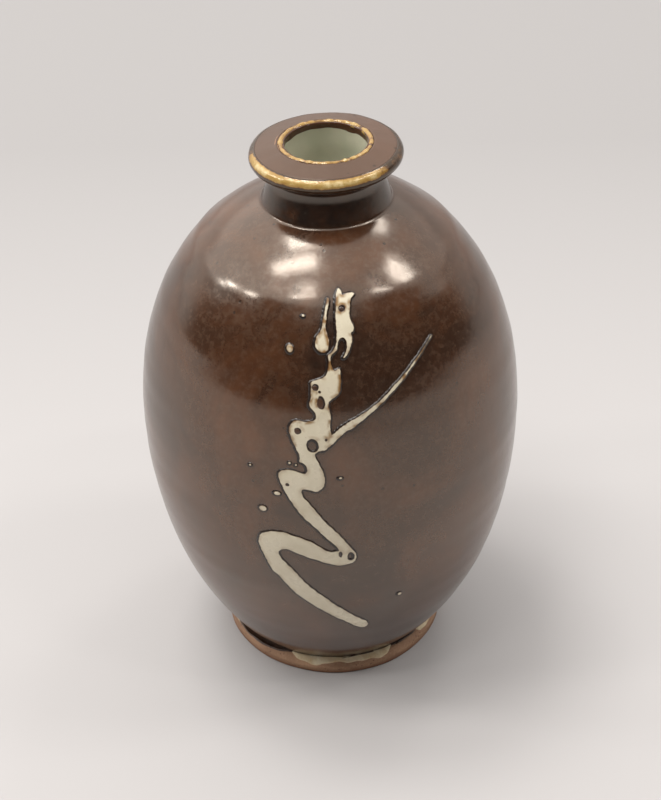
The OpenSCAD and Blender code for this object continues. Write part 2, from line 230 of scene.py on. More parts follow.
# Where the poured glaze goes
# Places are [x, height over the belly line], in millimetres
decor = {
    # One run of cream that doubles back on itself, from the shoulder to near the foot: its whole edge
    "run": [
        [1.5, 56.6], [2.2, 57.9], [2.8, 57.4], [3.2, 56.6], [4.2, 57], [5.4, 57], [6, 56.5],
        [5.3, 55.8],
        [5, 54.4], [4.8, 53], [5.1, 51.6], [5.7, 50.8], [5.7, 49.7], [5.2, 49.2], [5.5, 48.1], [5.1, 46.7],
        [4.4, 45.2], [3.6, 44.2], [3.1, 44.3], [3.6, 45.3], [4, 46.5], [3.9, 47.6], [3.2, 48.4], [2.4, 48.1],
        [1.9, 47.1], [1.6, 46], [0.9, 45.3], [0.3, 44.6], [0.1, 43.5], [0.3, 42.6], [0.9, 41.6],
        [1.7, 41.9],
        [2.2, 41.9], [2.5, 40.6], [2.5, 38.6], [2.2, 37], [1.4, 35.8], [0.2, 35], [-0.5, 34.4],
        [-0.6, 33.2],
        [-0.2, 31.8], [-0.1, 30], [-0.3, 28], [-0.1, 26.2], [-1, 24.6], [-2.4, 22.4], [-3.4, 21.8],
        [-4.2, 21], [-3.9, 20], [-3, 18], [-2.2, 16], [-1.9, 14.4], [-2, 12.6], [-2.7, 11.2], [-4, 10.3],
        [-5.6, 10.6], [-7.4, 10.7], [-7.8, 10], [-7.4, 8.4], [-6, 6.6], [-4, 3.8], [-2, 0.6], [0, -2],
        [2, -4.6], [4, -7.8], [5.4, -10.2], [5.9, -12], [5.3, -13.8], [3.8, -14.6], [2, -15], [0, -14.8],
        [-2, -14], [-4, -13.2], [-6, -12.4], [-8, -11.6], [-10, -10.6], [-12, -9.9], [-13.6, -10.2],
        [-14.2, -11.6], [-13.6, -13.4], [-12, -15.8], [-10, -18.6], [-8, -21.8], [-6, -24.4], [-4, -26.9],
        [-2, -29], [0, -31.8], [2, -34], [4, -36.4], [6.6, -39.4], [8.4, -41.4], [8.9, -43.2], [8, -44.7],
        [6.2, -44], [4, -41.8], [2, -39.8], [0, -38], [-2, -36], [-4, -34], [-6, -32], [-8, -30],
        [-10, -27.6], [-12, -24.8], [-13.9, -22], [-14.5, -20.8], [-15.9, -19.4], [-17, -17], [-18, -14],
        [-18.9, -11.4], [-19.5, -8.6], [-19, -6.4], [-17.8, -5], [-16, -4.2], [-14, -3.9], [-12, -4.1],
        [-10, -4.7], [-8, -5.4], [-6, -6.2], [-4, -7.7], [-2, -9.2], [-0.6, -9.9], [0.4, -9.6], [1.2, -9.3],
        [0.2, -7.4], [-2, -4.8], [-4, -2.2], [-6, 0], [-8, 2.5], [-10, 5.8], [-11.8, 9], [-13, 12],
        [-13.6, 14], [-13, 15.5], [-11.4, 16.2], [-9, 16], [-7, 15.5], [-6.4, 16.2], [-6.5, 17.6],
        [-7.4, 18.5], [-8.2, 18.8], [-8, 20], [-8.7, 22], [-9.6, 24], [-10.3, 26], [-10.5, 27.8],
        [-9.8, 29.1],
        [-8.6, 29.7], [-6, 29.6], [-4.4, 30], [-3.9, 31], [-4.2, 32], [-5.2, 33], [-5.4, 34.2], [-5, 35.6],
        [-4.9, 37.6], [-4.8, 39], [-3.6, 39.5], [-2.2, 39.9], [-1.1, 40.8], [-0.7, 42], [-0.4, 43.4],
        [-0.7, 44.6], [-0.2, 45.2], [0.6, 45.8], [1.3, 47], [1.5, 49], [1.4, 52], [1.5, 54.6],
    ],
    # A thin streak beside its top, ending in a blob
    "streak": [
        [-0.5, 56.2], [0, 55.8], [-0.4, 54], [-0.8, 52], [-1, 50.4], [-0.6, 49.2],
        [-0.2, 47.6], [-0.4, 46.2],
        [-1.2, 45.5], [-2.6, 45.6], [-3.5, 46.4], [-3.7, 47.6], [-3.2, 48.8], [-2.4, 49.8], [-1.8, 51.4],
        [-1.3, 53.4], [-0.9, 55.2],
    ],
    # The flick up to the right, as a route with half widths
    "flick": [[-2, 22.9, 0.75], [0, 25, 1], [2.6, 27.4, 0.85], [4.6, 28.5, 1], [8, 30.5, 0.72],
        [12, 33.2, 0.48],
        [16, 36.4, 0.48], [20, 39.9, 0.32], [24.8, 44.4, 0.15]],
    # Rounds are [x, height, half width, half height]
    "gaps": [[-4.8, 23.4, 1.5, 1.7], [4.3, -11.8, 0.85, 1.45]],
    "beads": [[3, 54.1, 0.75, 0.75], [-3.8, 37.8, 0.75, 0.75], [-2.5, 34.2, 0.9, 1.55],
        [-8.3, 27.1, 0.8, 0.8],
        [-11.4, 11.8, 0.4, 0.42], [1.7, -10.8, 0.36, 0.85], [-1.4, 25, 0.28, 0.28],
        [-2.8, 36.8, 0.25, 0.25]],
    "drops": [[-9.8, 46, 0.85, 1.05], [-6.4, 52.8, 0.4, 0.35], [-17.8, 3.1, 1, 0.9], [-14, 8.7, 0.9, 0.6],
        [-10.6, 18.2, 0.38, 0.38], [-9, 17.8, 0.3, 0.3], [2, 14.3, 0.5, 0.32], [17.4, -31, 0.6, 0.6],
        [-20.6, 15.6, 0.35, 0.3]],
    # Smoky stains are [x, height, half width, half height, strength]
    "stains": [[-11.5, 3, 5, 6, 0.8], [1.5, 0, 2.4, 8, 0.6], [-4.5, -19.5, 3, 6, 0.6],
        [1, -28, 2.5, 5, 0.5],
        [-3.6, 43.5, 2.2, 3.2, 0.9], [4.4, 36, 2.4, 5, 0.6], [0.3, 50.5, 1, 5, 1],
        [-1.6, -7.6, 2, 1.6, 0.7],
        [7, 48, 2, 6, 0.5], [-8, 36, 2, 5, 0.5], [-20.6, 15.6, 1.4, 1.2, 0.9], [10.4, -28.8, 0.9, 1, 0.8],
        [-18.5, 11, 2, 2.5, 0.4], [14, 37, 5, 2.5, 0.5], [17.4, -31, 1.3, 1.2, 0.8],
        [-9.8, 46, 1.8, 2, 0.9],
        [-17.8, 3.1, 1.8, 1.7, 0.8], [2, 14.3, 1.3, 0.9, 0.7], [-6.4, 52.8, 1, 0.9, 0.8],
        [24, 49.6, 2.6, 0.9, 0.6],
        [-11, 17.6, 3, 1.4, 0.6]],
    "height": 0.3 * mm,
    "edge": 0.55 * mm,            # how far in from its edge the cream reaches its full height
    "rim": 0.40 * mm,             # dark brown line round the cream, widened on its lower left by painted shadow
    "grid": 0.17 * mm,
}

# Length along the wall from the belly line, against height
wallLine = ovalLine(pot["creamLine"], rootX, 900)
wallNormals = outlineNormals(wallLine)
wallLength = np.concatenate([[0], np.cumsum(np.linalg.norm(np.diff(wallLine, axis=0), axis=1))])
wallLength -= np.interp(pot["bellyZ"], wallLine[:, 1], wallLength)


def alongWall(height):
    return np.interp(pot["bellyZ"] + height * mm, wallLine[:, 1], wallLength)


# The places were read off a shoulder 74 mm high, so the upper ones are let down onto this flatter one
letDown = {"above": 42, "start": 40, "rate": 0.0016, "digits": 1}


def lowered(height):
    if height <= letDown["above"]:
        return height
    drop = letDown["rate"] * (height - letDown["start"]) ** 2
    return round(height - drop, letDown["digits"])


def onChart(places):
    # Millimetre places as [x, length along the wall, anything else]
    return np.array([[x * mm, alongWall(lowered(h))] + [v * mm for v in rest] for x, h, *rest in places])


def smoothed(p, steps, closed):
    # A smooth curve through a row of points
    ends = (p[-1:], p[:2]) if closed else (2 * p[:1] - p[1:2], 2 * p[-1:] - p[-2:-1])
    p = np.concatenate([ends[0], p, ends[1]])
    out = []
    for i in range(1, len(p) - 2):
        for t in np.linspace(0, 1, steps, endpoint=False):
            out.append(0.5 * (2 * p[i] + (p[i + 1] - p[i - 1]) * t
                + (2 * p[i - 1] - 5 * p[i] + 4 * p[i + 1] - p[i + 2]) * t ** 2
                + (3 * p[i] - p[i - 1] - 3 * p[i + 1] + p[i + 2]) * t ** 3))
    return np.array(out + [out[0] if closed else p[-2]])


def routeDistance(x, s, line):
    # Distance outside a route of varying width, and less than zero inside it
    best = np.full(x.shape, 1.0)
    for a, b in zip(line[:-1], line[1:]):
        d = b[:2] - a[:2]
        share = np.clip(((x - a[0]) * d[0] + (s - a[1]) * d[1]) / (d @ d), 0, 1)
        away = np.hypot(x - a[0] - share * d[0], s - a[1] - share * d[1])
        best = np.minimum(best, away - a[2] - share * (b[2] - a[2]))
    return best


def shapeDistance(x, s, line):
    # Distance outside a closed shape, and less than zero inside it
    best = np.full(x.shape, 1.0)
    inside = np.zeros(x.shape, bool)
    for a, b in zip(line[:-1], line[1:]):
        d = b - a
        share = np.clip(((x - a[0]) * d[0] + (s - a[1]) * d[1]) / (d @ d), 0, 1)
        best = np.minimum(best, np.hypot(x - a[0] - share * d[0], s - a[1] - share * d[1]))
        if a[1] != b[1]:
            crosses = (a[1] > s) != (b[1] > s)
            inside ^= crosses & (x < a[0] + (s - a[1]) / (b[1] - a[1]) * d[0])
    return np.where(inside, -best, best)


def roundDistance(x, s, rounds):
    best = np.full(x.shape, 1.0)
    for rx, rs, wide, high in onChart(rounds):
        size = np.hypot((x - rx) / wide, (s - rs) / high)
        best = np.minimum(best, (size - 1) * min(wide, high))
    return best


def blendDistance(a, b, soft):
    h = np.clip(0.5 + 0.5 * (b - a) / soft, 0, 1)
    return b * (1 - h) + a * h - soft * h * (1 - h)


runLine = smoothed(onChart(decor["run"]), 4, True)
streakLine = smoothed(onChart(decor["streak"]), 4, True)
flickLine = smoothed(onChart(decor["flick"]), 5, False)


def creamDistance(x, s):
    total = shapeDistance(x, s, runLine)
    total = np.minimum(total, shapeDistance(x, s, streakLine))
    total = blendDistance(total, routeDistance(x, s, flickLine), 0.4 * mm)
    total = np.maximum(total, -roundDistance(x, s, decor["gaps"] + decor["beads"]))
    ragged = wave((0.05, x / mm * 1.9 + s / mm * 0.7), (0.04, x / mm * 0.9 - s / mm * 2.3 + 1),
        (0.03, s / mm * 5.1 + x / mm * 3))
    return total + ragged * mm


def stained(x, s):
    # How smoky the brown glaze is, from 0 to 1
    total = np.zeros(x.shape)
    for sx, sh, wide, high, strength in decor["stains"]:
        away = s - alongWall(lowered(sh))
        size = ((x - sx * mm) / (wide * mm)) ** 2 + (away / (high * mm)) ** 2
        total = np.maximum(total, strength * np.exp(-size))
    return total


def onWall(x, s, lift):
    # Points of the front of the wall, by sideways place and length along it
    line = np.stack([np.interp(s, wallLength, wallLine[:, k]) for k in (0, 1)], -1)
    normals = np.stack([np.interp(s, wallLength, wallNormals[:, k]) for k in (0, 1)], -1)
    az = np.arcsin(np.clip(x / line[..., 0], -1, 1))
    return turned(line, normals, az, lift + throwing(az, line[..., 1]))


def layOn(name, distance, height, edge, rim, box, grid):
    # A drop or stroke that stands on the wall: a closed cap whose edge dips just under the surface
    xs = np.arange(box[0] * mm, box[1] * mm, grid)
    ss = np.arange(alongWall(box[2]), alongWall(box[3]), grid)
    x, s = np.meshgrid(xs, ss)
    shape = distance(x, s)
    d = shape - rim
    depth = np.clip(-d / edge, 0, 1)
    lift = np.where(d < 0, height * np.sqrt(1 - (1 - depth) ** 2), -0.25 * d)
    keep = d < 1.6 * grid
    cells = keep[:-1, :-1] & keep[1:, :-1] & keep[:-1, 1:] & keep[1:, 1:]
    used = np.zeros(d.shape, bool)
    for i, j in ((0, 0), (1, 0), (0, 1), (1, 1)):
        used[i:i + cells.shape[0], j:j + cells.shape[1]] |= cells
    number = np.full(d.shape, -1)
    number[used] = np.arange(used.sum())
    count = int(used.sum())
    top = onWall(x[used], s[used], lift[used])
    under = onWall(x[used], s[used], np.full(count, -0.2 * mm))
    faces, sides = [], {}
    for i, j in zip(*np.nonzero(cells)):
        quad = [int(number[i, j]), int(number[i, j + 1]), int(number[i + 1, j + 1]), int(number[i + 1, j])]
        faces.append(quad)
        faces.append([count + k for k in quad[::-1]])
        for a, b in zip(quad, quad[1:] + quad[:1]):
            if (b, a) in sides:
                del sides[(b, a)]
            else:
                sides[(a, b)] = True
    faces += [[b, a, count + a, count + b] for a, b in sides]
    piece = makeMesh(name, np.concatenate([top, under]), faces)
    # The cream colour is set a little up and to the right, so the dark line round it is wider on the lower
    # left: painted shadow beside the raised cream, over the real dark glaze edge
    shift = int(round(0.1 * mm / grid))
    moved = np.roll(shape, (shift, shift), (0, 1))
    setMark(piece, "inward", np.clip(-moved[used] / mm, -1, 3))
    setMark(piece, "high", smoothStep(12 * mm, 34 * mm, s[used]))
    print(name, "has", len(faces), "faces")
    return piece


# Material helpers
def startMaterial(name):
    material = bpy.data.materials.new(name)
    material.use_nodes = True
    tree = material.node_tree
    return material, tree, tree.nodes["Principled BSDF"]


def add(tree, kind, settings=None, **sockets):
    made = tree.nodes.new(kind)
    for key, value in (settings or {}).items():
        setattr(made, key, value)
    for key, value in sockets.items():
        socket = made.inputs[int(key[2:])] if key.startswith("at") else made.inputs[key.replace("_", " ")]
        if isinstance(value, bpy.types.NodeSocket):
            tree.links.new(value, socket)
        else:
            socket.default_value = value
    return made


def place(tree, stretch=(1, 1, 1)):
    where = add(tree, "ShaderNodeTexCoord")
    return add(tree, "ShaderNodeMapping", Vector=where.outputs["Object"], Scale=stretch).outputs["Vector"]


def noise(tree, vector, size, detail=3.0, rough=0.5, distortion=0.0):
    # size is the length of one patch, in millimetres
    made = add(tree, "ShaderNodeTexNoise", Vector=vector, Scale=1000 / size, Detail=detail, Roughness=rough,
        Distortion=distortion)
    return made.outputs["Fac"]


def ramp(tree, factor, *stops):
    made = add(tree, "ShaderNodeValToRGB", Fac=factor)
    while len(made.color_ramp.elements) < len(stops):
        made.color_ramp.elements.new(0.5)
    for element, (position, colour) in zip(made.color_ramp.elements, stops):
        element.position = position
        element.color = (*colour, 1) if isinstance(colour, tuple) else (colour, colour, colour, 1)
    return made.outputs["Color"]


def mix(tree, factor, a, b, way="MIX"):
    made = add(tree, "ShaderNodeMix", {"data_type": "RGBA", "blend_type": way}, at0=factor)
    for index, value in ((6, a), (7, b)):
        if isinstance(value, bpy.types.NodeSocket):
            tree.links.new(value, made.inputs[index])
        else:
            made.inputs[index].default_value = (*value, 1)
    return made.outputs[2]


def sums(tree, way, a, b):
    return add(tree, "ShaderNodeMath", {"operation": way}, at0=a, at1=b).outputs[0]


def spread(tree, value, low, high, start=0.0, end=1.0):
    # Takes a value from low to high smoothly onto start to end
    made = add(tree, "ShaderNodeMapRange", {"interpolation_type": "SMOOTHSTEP"}, Value=value, From_Min=low,
        From_Max=high, To_Min=start, To_Max=end)
    return made.outputs[0]


def mark(tree, name):
    return add(tree, "ShaderNodeAttribute", {"attribute_name": name}).outputs["Fac"]


def bump(tree, shader, height, distance, strength=1.0):
    made = add(tree, "ShaderNodeBump", Height=height, Distance=distance * mm, Strength=strength)
    tree.links.new(made.outputs["Normal"], shader.inputs["Normal"])


def link(tree, output, shader, name):
    tree.links.new(output, shader.inputs[name])


# Materials
glazes = {
    "red": (0.105, 0.040, 0.016),
    "dark": (0.036, 0.016, 0.009),
    "haze": (0.110, 0.066, 0.042),
    "poolAndShade": (0.012, 0.006, 0.004),
    "cream": (0.726, 0.661, 0.510),
    "ochre": (0.30, 0.165, 0.05),
    "amber": (0.44, 0.29, 0.095),
    "lip": (0.095, 0.052, 0.033),
    "clay": (0.42, 0.25, 0.150),
    "celadon": (0.52, 0.53, 0.40),
    "ior": 1.85,
}


def brownGlazeMaterial(name, lipTop=False):
    material, tree, shader = startMaterial(name)
    where = place(tree)
    clouds = noise(tree, where, 34, 4, 0.6, 0.6)
    runs = noise(tree, place(tree, (1, 1, 0.22)), 7, 4, 0.6)
    grain = noise(tree, where, 1.5, 6, 0.72)
    base = mix(tree, ramp(tree, clouds, (0.36, 0.0), (0.62, 1.0)), glazes["red"], glazes["dark"])
    base = mix(tree, ramp(tree, runs, (0.42, 0.0), (0.75, 0.6)), base, glazes["dark"])
    base = mix(tree, ramp(tree, grain, (0.46, 0.0), (0.74, 0.55)), base, glazes["haze"])
    if lipTop:
        base = mix(tree, 0.75, base, glazes["lip"])
    specks = add(tree, "ShaderNodeTexVoronoi", Vector=where, Scale=1000 / 5.5, Randomness=1.0)
    base = mix(tree, ramp(tree, specks.outputs["Distance"], (0.045, 0.8), (0.10, 0.0)), base, glazes["poolAndShade"])
    # Darker patches: smoky stains and glaze pooled round the cream, plus painted shade near the foot and on
    # the neck under the lip.
    patches = ramp(tree, noise(tree, where, 3.5, 4, 0.65), (0.3, 0.35), (0.6, 1.0))
    smokeAndShade = sums(tree, "MULTIPLY", mark(tree, "pooledAndShaded"), patches)
    base = mix(tree, smokeAndShade, base, glazes["poolAndShade"])
    link(tree, base, shader, "Base Color")
    shader.inputs["IOR"].default_value = glazes["ior"]
    shader.inputs["Specular Tint"].default_value = (1.0, 0.89, 0.78, 1)
    shader.inputs["Specular IOR Level"].default_value = 0.24 if lipTop else 0.5
    low, high = (0.28, 0.42) if lipTop else (0.13, 0.24)
    rough = ramp(tree, grain, (0.3, low), (0.75, high))
    link(tree, sums(tree, "ADD", rough, sums(tree, "MULTIPLY", smokeAndShade, 0.06)), shader, "Roughness")
    peel = noise(tree, where, 2.6, 2, 0.5)
    pits = ramp(tree, specks.outputs["Distance"], (0.0, 0.0), (0.1, 1.0))
    uneven = sums(tree, "ADD", sums(tree, "MULTIPLY", peel, 0.5), sums(tree, "MULTIPLY", pits, 0.3))
    bump(tree, shader, uneven, 0.05)
    return material


def creamMaterial():
    material, tree, shader = startMaterial("creamTrail")
    where = place(tree)
    cloud = noise(tree, where, 5, 4, 0.6)
    fine = noise(tree, where, 1.1, 4, 0.6)
    jitter = sums(tree, "MULTIPLY", sums(tree, "SUBTRACT", fine, 0.5), 0.14)
    wander = sums(tree, "ADD", mark(tree, "inward"), jitter)
    depth = sums(tree, "ADD", sums(tree, "MULTIPLY", wander, 0.25), 0.25)
    # Dark line at the cream's edge: the real glaze edge, widened on the lower left as painted shadow.
    edge = ramp(tree, depth, (0.235, glazes["poolAndShade"]), (0.262, (0.10, 0.05, 0.02)), (0.29, glazes["cream"]))
    toasted = ramp(tree, depth, (0.24, glazes["poolAndShade"]), (0.27, (0.14, 0.06, 0.018)), (0.36, glazes["ochre"]),
        (0.52, glazes["cream"]))
    patches = sums(tree, "MULTIPLY", ramp(tree, noise(tree, where, 3.2, 2, 0.5), (0.47, 0.0), (0.60, 1.0)),
        sums(tree, "ADD", sums(tree, "MULTIPLY", mark(tree, "high"), 0.7), 0.25))
    shade = mix(tree, patches, edge, toasted)
    shade = mix(tree, ramp(tree, cloud, (0.4, 0.0), (0.75, 0.45)), shade, (0.72, 0.68, 0.58), "MULTIPLY")
    pricks = ramp(tree, noise(tree, where, 0.5, 2, 0.5), (0.70, 0.0), (0.80, 0.3))
    shade = mix(tree, pricks, shade, glazes["ochre"])
    link(tree, shade, shader, "Base Color")
    shader.inputs["IOR"].default_value = 1.55
    link(tree, ramp(tree, cloud, (0.3, 0.22), (0.7, 0.38)), shader, "Roughness")
    bump(tree, shader, fine, 0.03, 0.6)
    return material


def amberMaterial():
    # Thin glaze on a sharp edge goes from brown through amber to pale gold
    material, tree, shader = startMaterial("amberGlaze")
    where = place(tree)
    spots = noise(tree, where, 1.6, 4, 0.65)
    uneven = sums(tree, "MULTIPLY", sums(tree, "SUBTRACT", spots, 0.5), 0.9)
    thin = sums(tree, "ADD", mark(tree, "thin"), uneven)
    shade = ramp(tree, thin, (0.20, (0.030, 0.014, 0.007)), (0.38, (0.10, 0.042, 0.014)),
        (0.52, (0.34, 0.19, 0.05)), (0.80, glazes["amber"]), (1.0, (0.66, 0.52, 0.27)))
    link(tree, shade, shader, "Base Color")
    shader.inputs["IOR"].default_value = glazes["ior"]
    shader.inputs["Specular IOR Level"].default_value = 0.4
    shader.inputs["Specular Tint"].default_value = (1.0, 0.86, 0.68, 1)
    link(tree, ramp(tree, spots, (0.3, 0.08), (0.7, 0.2)), shader, "Roughness")
    bump(tree, shader, noise(tree, where, 1.2, 2, 0.5), 0.12, 0.7)
    return material


def clayMaterial():
    material, tree, shader = startMaterial("toastedClay")
    where = place(tree)
    patch = noise(tree, where, 14, 4, 0.6)
    sand = noise(tree, where, 0.55, 4, 0.7)
    shade = mix(tree, ramp(tree, patch, (0.35, 0.0), (0.68, 1.0)), glazes["clay"], (0.25, 0.135, 0.080))
    shade = mix(tree, ramp(tree, sand, (0.5, 0.0), (0.75, 0.6)), shade, (0.54, 0.38, 0.26))
    grit = add(tree, "ShaderNodeTexVoronoi", Vector=where, Scale=1000 / 1.3)
    grains = ramp(tree, grit.outputs["Distance"], (0.1, 0.7), (0.2, 0.0))
    shade = mix(tree, grains, shade, (0.08, 0.04, 0.025))
    low = spread(tree, add(tree, "ShaderNodeSeparateXYZ", Vector=where).outputs["Z"], 0.0, 2.2 * mm, 1.0, 0.0)
    shade = mix(tree, low, shade, (0.20, 0.085, 0.045))
    link(tree, shade, shader, "Base Color")
    shader.inputs["IOR"].default_value = 1.45
    link(tree, ramp(tree, sand, (0.3, 0.6), (0.7, 0.85)), shader, "Roughness")
    bump(tree, shader, sums(tree, "ADD", sand, grit.outputs["Distance"]), 0.12, 0.7)
    return material


def celadonMaterial():
    material, tree, shader = startMaterial("linerGlaze")
    where = place(tree)
    cloud = noise(tree, where, 8, 3, 0.6)
    shade = mix(tree, ramp(tree, cloud, (0.35, 0.0), (0.7, 1.0)), glazes["celadon"], (0.60, 0.58, 0.45))
    uneven = sums(tree, "MULTIPLY", noise(tree, where, 3, 3, 0.6), 0.3)
    band = sums(tree, "ADD", mark(tree, "rolledIn"), uneven)
    shade = mix(tree, ramp(tree, band, (0.56, 0.0), (0.66, 1.0)), shade, (0.075, 0.028, 0.012))
    link(tree, shade, shader, "Base Color")
    shader.inputs["IOR"].default_value = 1.55
    link(tree, ramp(tree, cloud, (0.3, 0.12), (0.7, 0.22)), shader, "Roughness")
    bump(tree, shader, noise(tree, where, 2.4, 2, 0.5), 0.04)
    return material


def plainGlaze(name, colour, other, rough):
    material, tree, shader = startMaterial(name)
    where = place(tree)
    cloud = noise(tree, where, 3, 4, 0.65)
    link(tree, mix(tree, ramp(tree, cloud, (0.35, 0.0), (0.7, 1.0)), colour, other), shader, "Base Color")
    shader.inputs["IOR"].default_value = 1.6
    link(tree, ramp(tree, cloud, (0.3, rough), (0.7, rough + 0.1)), shader, "Roughness")
    bump(tree, shader, noise(tree, where, 1.5, 2, 0.5), 0.05)
    return material


brown = brownGlazeMaterial("brownGlaze")
lipBrown = brownGlazeMaterial("lipGlaze", lipTop=True)
cream = creamMaterial()
amber = amberMaterial()
clay = clayMaterial()
celadon = celadonMaterial()
thick = plainGlaze("thickGlaze", (0.040, 0.020, 0.012), (0.085, 0.040, 0.020), 0.25)
paleCream = plainGlaze("creamGlaze", (0.80, 0.70, 0.50), (0.58, 0.42, 0.22), 0.2)
print("materials made")

# Brown coat: wall, neck and under the lip
around = 300
azimuths = np.linspace(-math.pi, math.pi, around, endpoint=False)


def glazeEdge(az):
    # How far the brown coat runs down below its line, round the foot
    left = 1.7 * np.exp(-((az + 0.95) / 0.55) ** 2)
    right = 0.8 * np.exp(-((az - 0.95) / 0.45) ** 2)
    ragged = wave((0.16, 5 * az + 0.4), (0.14, 9 * az + 1.9), (0.10, 17 * az), (0.06, 31 * az))
    return mm * (1.85 + left + right + ragged)


# The way down that the coat follows: the wall, then out over the ledge above the foot
lowWall = ovalLine(pot["creamLine"] + 0.5 * mm, pot["bellyR"] * 0.7, 400)
footTop = np.array([footBox[1].x, footBox[1].z])
lowLedge = footTop + np.array([[-0.45, 0.30], [-0.75, 0.62], [-1.17, 0.97], [-1.95, 1.60]]) * mm
lowPath = smoothed(np.concatenate([lowLedge, lowWall]), 3, False)
lowNormals = outlineNormals(lowPath)
lowLength = np.concatenate([[0], np.cumsum(np.linalg.norm(np.diff(lowPath, axis=0), axis=1))])
lowLength -= np.interp(pot["glazeLine"], lowPath[8:, 1], lowLength[8:])


def onLowPath(way):
    # Place and direction out from the pot, by distance above the glaze line
    pick = [np.interp(way, lowLength, part[:, k]) for part in (lowPath, lowNormals) for k in (0, 1)]
    return np.stack(pick[:2], -1), np.stack(pick[2:], -1)


def makeBrownCoat():
    wall = ovalLine(pot["glazeLine"], cornerX, 122)
    out = -shoulderNormal(cornerX)
    coneTurn = neck["lean"] - math.pi
    corner = arcLine(cornerCentre, neck["cornerR"], math.atan2(out[1], out[0]), coneTurn, 10)[1:]
    bend = arcLine(bendCentre, neck["bendR"], coneTurn, -math.pi, 8)
    cone = np.linspace(corner[-1], bend[0], 10)[1:-1]
    underMiddle = np.array([neck["r"] + neck["underR"], neck["z"]])
    root = np.concatenate([corner, cone, bend])
    under = arcLine(underMiddle, neck["underR"], math.pi, math.pi / 2 + slope, 12)[1:]
    run = np.linspace(under[-1], [edgeX, edgeCentre[1] - pot["lipEdgeR"] * math.cos(slope)], 5)[1:]
    line = np.concatenate([wall, root, under, run])
    normals = outlineNormals(line)
    rows = np.repeat(line[:, None, :], around, axis=1)
    az = np.repeat(azimuths[None, :], len(line), axis=0)
    normal = np.repeat(normals[:, None, :], around, axis=1)
    inWall = (np.arange(len(line)) < len(wall))[:, None]
    # The first rows slide down the wall to the ragged edge
    above = np.concatenate([[0], np.cumsum(np.linalg.norm(np.diff(line[:14], axis=0), axis=1))])
    fade = (1 - np.arange(14) / 13) ** 1.5
    way = above[:, None] - glazeEdge(azimuths)[None, :] * fade[:, None]
    rows[:14], normal[:14] = onLowPath(way)
    lift = throwing(az, rows[..., 1])
    lift = lift - 0.15 * mm * (1 - smoothStep(0, 1.5, np.arange(len(line))))[:, None]
    outer = turned(rows, normal, az, lift)
    piece = closedSkin("brownCoat", outer, turned(rows, normal, az, lift - pot["skin"]))
    flatX = rows[..., 0] * np.sin(az)
    s = np.interp(rows[..., 1], wallLine[:, 1], wallLength)
    front = (np.cos(az) > 0.6) & inWall
    away = np.full(az.shape, 1.0)
    smokeAndShade = np.zeros(az.shape)
    away[front] = creamDistance(flatX[front], s[front])
    smokeAndShade[front] = stained(flatX[front], s[front])
    nearTrail = 0.75 * np.exp(-np.clip(away, 0, 1) / (1.3 * mm))
    # Painted shade: the glaze colour is darkened over its lowest 9 mm, near the foot where the lower body
    # faces the shadowed table.
    shadeNearFoot = 0.85 * (1 - smoothStep(0, 9 * mm, rows[..., 1] - pot["glazeLine"]))
    # Painted shade: the glaze colour on the neck and under the lip is made near black, where the lip shades
    # it.
    shadeUnderLip = smoothStep(140.2 * mm, 142 * mm, rows[..., 1])
    setMark(piece, "pooledAndShaded", np.clip(np.maximum(nearTrail, smokeAndShade) + shadeNearFoot + shadeUnderLip, 0, 1))
    piece.data.materials.append(brown)
    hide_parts("brown_glaze", "neck_glaze")


makeBrownCoat()
print("brown coat made")

# Lip
lip = {"around": 360, "ripple": 0.035}


def makeLip():
    az = np.linspace(-math.pi, math.pi, lip["around"], endpoint=False)
    startTurn, endTurn = slope - math.pi / 2, math.pi / 2 - pot["lipSlope"]
    edge = arcLine(edgeCentre, pot["lipEdgeR"], startTurn, endTurn, 26)
    top = np.linspace(edge[-1], [bead["outer"] - 0.6 * mm,
        edge[-1][1] + (edge[-1][0] - bead["outer"] + 0.6 * mm) * math.tan(pot["lipSlope"])], 18)
    both = np.concatenate([edge, top[1:]])
    normals = outlineNormals(both)
    turnsOf = np.linspace(0, 1, len(edge))
    for name, part, normal, node, slot, finish in (
            ("lipEdge", both[:26], normals[:26], "lip_edge_glaze", "amber_glaze", amber),
            ("lipTop", both[25:], normals[25:], "lip_glaze", "lip_glaze", lipBrown)):
        angle = np.repeat(az[None, :], len(part), axis=0)
        line = np.repeat(part[:, None, :], len(az), axis=1)
        normal = np.repeat(normal[:, None, :], len(az), axis=1)
        lift = mm * lip["ripple"] * wave((1, 5 * angle + 0.3), (0.7, 9 * angle + 2), (0.5, 17 * angle))
        outer = turned(line, normal, angle, lift)
        piece = closedSkin(name, outer, turned(line, normal, angle, lift - 0.5 * mm))
        if name == "lipEdge":
            # Amber on the crest of the edge, round the front and left
            crest = np.exp(-((turnsOf[:, None] - 0.71 - 0.02 * np.sin(4 * angle)) / 0.23) ** 4)
            side = smoothStep(0.28, 0.60, np.cos(angle + 0.3))
            uneven = wave((0.06, 6 * angle + 1), (0.05, 11 * angle), (0.04, 29 * angle + 2))
            setMark(piece, "thin", np.clip(crest * (0.22 + 0.62 * side) + uneven * crest, 0, 1))
        piece.data.materials.append(finish)
        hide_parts(node)


